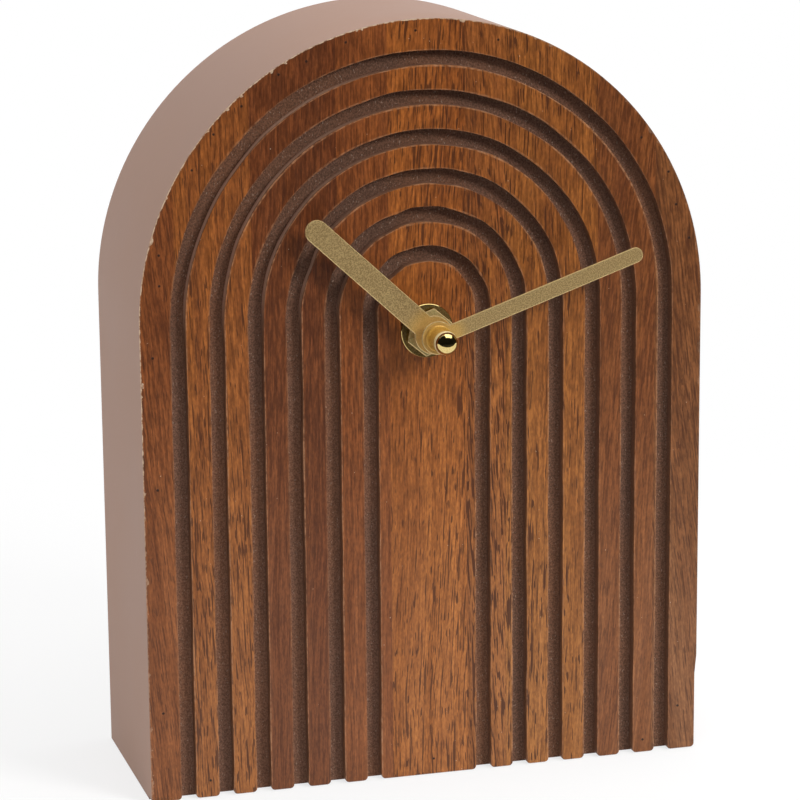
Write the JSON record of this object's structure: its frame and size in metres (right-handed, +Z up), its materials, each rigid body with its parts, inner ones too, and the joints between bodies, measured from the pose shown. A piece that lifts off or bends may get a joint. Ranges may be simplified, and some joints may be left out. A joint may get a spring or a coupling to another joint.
{
  "type": "desk clock",
  "caption": "Free-standing arch-shaped wooden desk clock: grooved hardwood face, gold baton hands and a battery quartz movement in a pocket in the back.",
  "frame": {"origin": "centre of the underside of the case block", "axes": "+Z up, -Y out of the clock face towards the reader, +X to the reader's right"},
  "size_m": [0.15, 0.0751, 0.2],
  "materials": {
    "taupe_paint": "satin taupe paint over fibreboard",
    "hardwood": "oiled red-brown hardwood, grain upright",
    "gold_metal": "gold plate, satin on the hands, polished on the nuts",
    "stem_brass": "turned brass",
    "black_plastic": "fine moulded texture",
    "white_plastic": "natural moulded acetal",
    "black_rubber": "dull rubber",
    "steel": "bright plated steel",
    "copper_wire": "enamelled copper wire",
    "circuit_green": "green solder mask",
    "chip_resin": "black resin",
    "battery_sleeve": "plain printed sleeve with no words"
  },
  "bodies": {
    "case": {"case_body": "taupe_paint", "face_border": "hardwood", "face_slat_1": "hardwood", "face_slat_2": "hardwood", "face_slat_3": "hardwood", "face_slat_4": "hardwood", "face_slat_5": "hardwood", "face_tongue": "hardwood", "rubber_washer": "black_rubber", "front_washer": "gold_metal", "fixing_nut": "gold_metal", "threaded_stem": "stem_brass", "movement_housing": "black_plastic", "middle_plate": "white_plastic", "rear_cover": "black_plastic", "stator": "steel", "coil_core": "steel", "coil_bobbin": "white_plastic", "coil_winding": "copper_wire", "circuit_board": "circuit_green", "chip": "chip_resin", "crystal": "steel", "positive_contact": "steel", "negative_contact": "steel", "battery": "battery_sleeve"},
    "minute_hand": {"minute_hand": "gold_metal", "minute_arbor": "stem_brass", "ball_nut": "gold_metal"},
    "hour_hand": {"hour_hand": "gold_metal", "hour_wheel": "white_plastic"},
    "minute_wheel": {"minute_wheel": "white_plastic"},
    "setting_knob": {"setting_knob": "black_plastic"},
    "second_wheel": {"second_wheel": "white_plastic"},
    "rotor": {"rotor_magnet": "steel", "rotor_pinion": "white_plastic"},
    "intermediate_wheel": {"intermediate_wheel": "white_plastic"},
    "third_wheel": {"third_wheel": "white_plastic"},
    "centre_wheel": {"centre_wheel": "white_plastic"}
  },
  "joints": [
    {"name": "minute_hand_turn", "type": "hinge", "parent": "case", "child": "minute_hand", "pos_m": [0, 0, 0.12], "axis": [0, 1, 0], "continuous": true},
    {"name": "hour_hand_turn", "type": "hinge", "parent": "case", "child": "hour_hand", "pos_m": [0, 0, 0.12], "axis": [0, 1, 0], "continuous": true},
    {"name": "minute_wheel_turn", "type": "hinge", "parent": "case", "child": "minute_wheel", "pos_m": [-0.01039, 0, 0.126], "axis": [0, 1, 0], "continuous": true},
    {"name": "setting_knob_turn", "type": "hinge", "parent": "case", "child": "setting_knob", "pos_m": [-0.02167, 0, 0.1219], "axis": [0, 1, 0], "continuous": true},
    {"name": "second_wheel_turn", "type": "hinge", "parent": "case", "child": "second_wheel", "pos_m": [0, 0, 0.12], "axis": [0, 1, 0], "continuous": true},
    {"name": "rotor_turn", "type": "hinge", "parent": "case", "child": "rotor", "pos_m": [0.0167, 0, 0.12819], "axis": [0, 1, 0], "continuous": true},
    {"name": "intermediate_wheel_turn", "type": "hinge", "parent": "case", "child": "intermediate_wheel", "pos_m": [0.01034, 0, 0.12182], "axis": [0, 1, 0], "continuous": true},
    {"name": "third_wheel_turn", "type": "hinge", "parent": "case", "child": "third_wheel", "pos_m": [-0.00713, 0, 0.12713], "axis": [0, 1, 0], "continuous": true},
    {"name": "centre_wheel_turn", "type": "hinge", "parent": "case", "child": "centre_wheel", "pos_m": [0, 0, 0.12], "axis": [0, 1, 0], "continuous": true}
  ],
  "couplings": [
    {"joint": "hour_hand_turn", "follows": "minute_hand_turn", "ratio": 0.083333},
    {"joint": "minute_wheel_turn", "follows": "minute_hand_turn", "ratio": -0.33333},
    {"joint": "setting_knob_turn", "follows": "minute_hand_turn", "ratio": 1},
    {"joint": "rotor_turn", "follows": "second_wheel_turn", "ratio": 30},
    {"joint": "intermediate_wheel_turn", "follows": "second_wheel_turn", "ratio": -6},
    {"joint": "third_wheel_turn", "follows": "second_wheel_turn", "ratio": -0.13333},
    {"joint": "centre_wheel_turn", "follows": "second_wheel_turn", "ratio": 0.016667}
  ]
}
